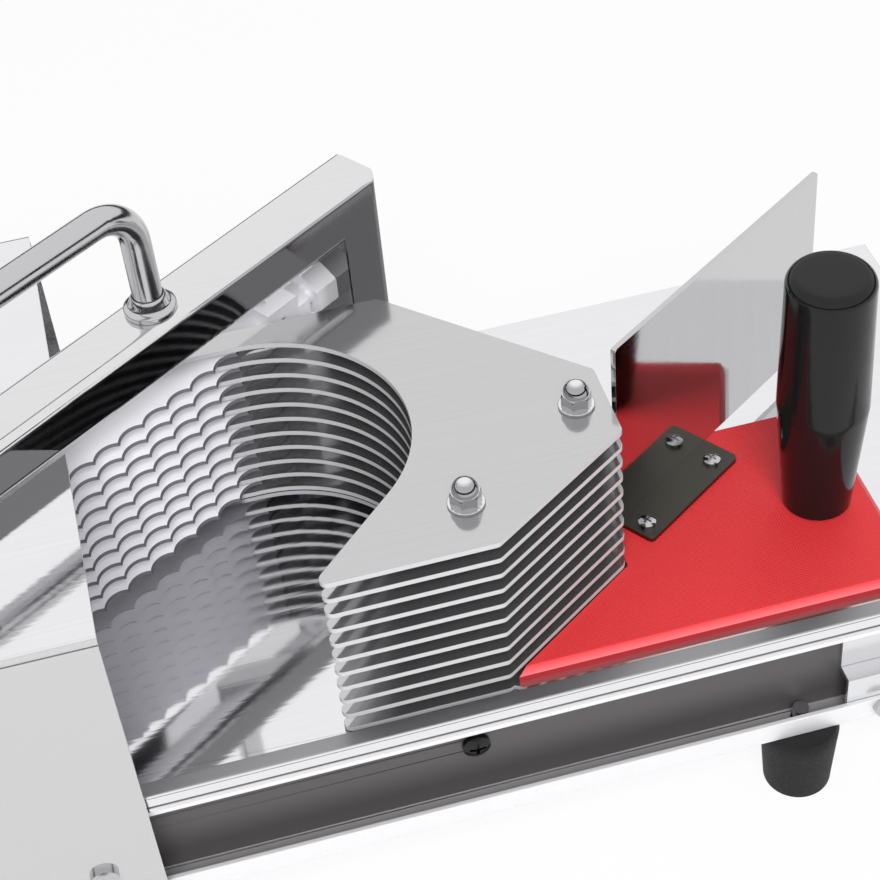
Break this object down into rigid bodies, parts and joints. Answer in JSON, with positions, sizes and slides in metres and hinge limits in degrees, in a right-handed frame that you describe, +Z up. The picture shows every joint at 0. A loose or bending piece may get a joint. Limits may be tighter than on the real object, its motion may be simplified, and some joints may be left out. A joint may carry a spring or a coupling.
{
  "type": "tomato slicer",
  "caption": "Hand-pushed tomato slicer: a sliding stack of plates with a round mouth pushes fruit through a slanted pack of scalloped blades.",
  "frame": {"origin": "on the table under the middle of the base", "axes": "+X along the slide towards the grip, +Y away from the operator's side, +Z up"},
  "size_m": [0.376, 0.1668, 0.184],
  "materials": {
    "mirror_steel": "mirror-polished stainless sheet",
    "polished_steel": "polished stainless",
    "blade_steel": "ground stainless",
    "satin_steel": "satin stainless",
    "bright_steel": "bright stainless",
    "dark_steel": "dark grey, satin",
    "chrome": "bright plated",
    "red_plastic": "embossed polyethylene",
    "black_plastic": "moulded, glossy",
    "black_rubber": "moulded, matt"
  },
  "bodies": {
    "base": {"base_plate": "mirror_steel", "front_channel": "satin_steel", "rear_channel": "satin_steel", "left_cross_member": "satin_steel", "right_cross_member": "satin_steel", "left_brace": "satin_steel", "right_brace": "satin_steel", "brace_screws": "bright_steel", "corner_brackets": "satin_steel", "bracket_bolts": "bright_steel", "rubber_feet": "black_rubber", "foot_screws": "bright_steel", "front_rail": "polished_steel", "rear_guide": "polished_steel", "housing": "mirror_steel", "housing_standoffs": "bright_steel", "housing_screws": "bright_steel", "blade_frame": "polished_steel", "frame_end_cap": "polished_steel", "near_holder": "satin_steel", "far_holder": "satin_steel", "near_pin": "bright_steel", "far_pin": "bright_steel", "frame_screws": "bright_steel", "blade_01": "blade_steel", "blade_02": "blade_steel", "blade_03": "blade_steel", "blade_04": "blade_steel", "blade_05": "blade_steel", "blade_06": "blade_steel", "blade_07": "blade_steel", "blade_08": "blade_steel", "blade_09": "blade_steel", "blade_10": "blade_steel", "tension_bolts": "bright_steel", "tension_nuts": "bright_steel", "lift_handle": "polished_steel", "handle_collars": "polished_steel"},
    "carriage": {"carriage_plate": "mirror_steel", "pusher_plate_02": "mirror_steel", "pusher_plate_03": "mirror_steel", "pusher_plate_04": "mirror_steel", "pusher_plate_05": "mirror_steel", "pusher_plate_06": "mirror_steel", "pusher_plate_07": "mirror_steel", "pusher_plate_08": "mirror_steel", "pusher_plate_09": "mirror_steel", "pusher_plate_10": "mirror_steel", "pusher_plate_11": "mirror_steel", "plate_spacers": "bright_steel", "stack_bolts": "bright_steel", "cap_washers": "chrome", "cap_nuts": "chrome", "cutting_board": "red_plastic", "guard": "mirror_steel", "guard_bracket": "dark_steel", "guard_screws": "bright_steel", "grip": "black_plastic", "grip_stud": "bright_steel"}
  },
  "joints": [
    {"name": "carriage_slide", "type": "slide", "parent": "base", "child": "carriage", "axis": [1, 0, 0], "range_m": [-0.13, 0.025]}
  ]
}
